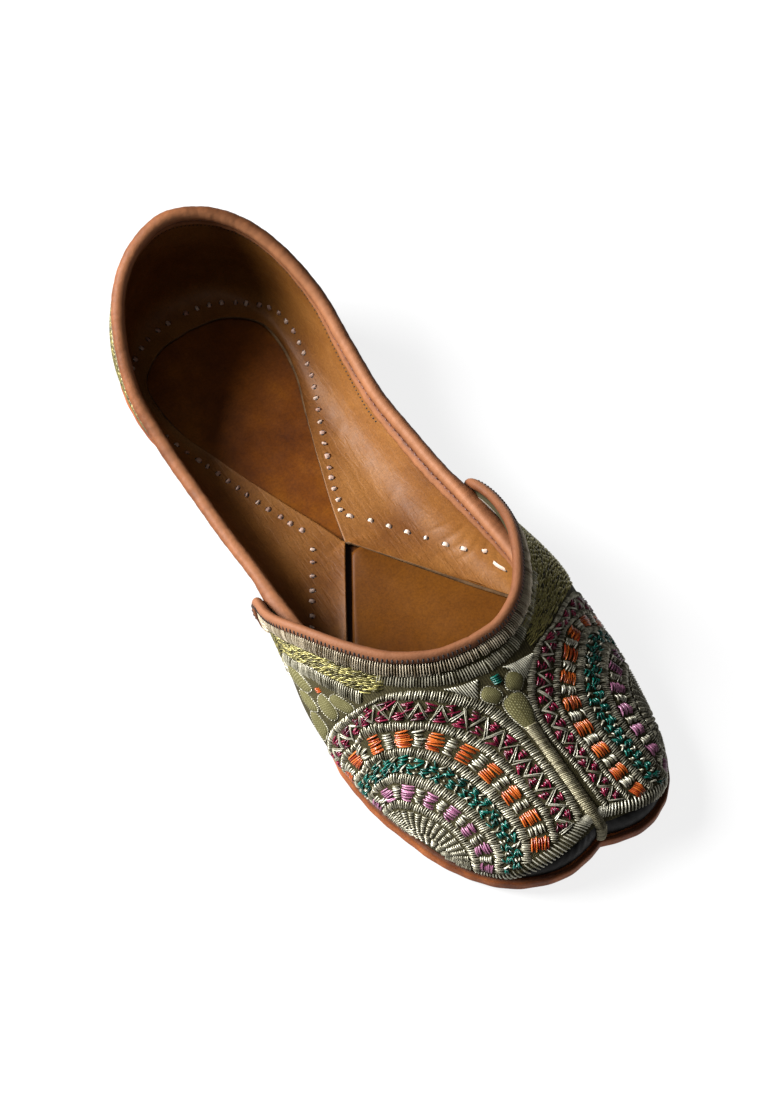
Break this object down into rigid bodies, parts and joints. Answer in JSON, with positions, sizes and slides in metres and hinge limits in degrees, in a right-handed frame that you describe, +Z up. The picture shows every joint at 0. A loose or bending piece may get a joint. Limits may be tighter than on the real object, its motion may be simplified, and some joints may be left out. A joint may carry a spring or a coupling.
{
  "type": "jutti shoe",
  "caption": "Flat leather slip-on shoe with an embroidered vamp, low open quarters, rolled bindings, a raised middle cord and a softly notched toe, for the right foot.",
  "frame": {"origin": "middle of the shoe's box, on the ground plane under the sole", "axes": "+Y from the toe to the heel, +Z up, +X to the wearer's left, the side the toe swings to"},
  "size_m": [0.0953, 0.2434, 0.0587],
  "materials": {
    "sole_leather": "satin",
    "insole_leather": "satin",
    "embroidered_cloth": "metallic thread",
    "quarter_leather": "satin",
    "toe_leather": "gloss",
    "binding_leather": "satin",
    "cord_thread": "metallic thread"
  },
  "bodies": {
    "root": {"outsole": "sole_leather", "insole": "insole_leather", "upper_vamp": "embroidered_cloth", "upper_quarters": "quarter_leather", "toe_band": "toe_leather", "throat_binding": "binding_leather", "topline_binding": "binding_leather", "vamp_cord": "cord_thread"}
  },
  "joints": []
}
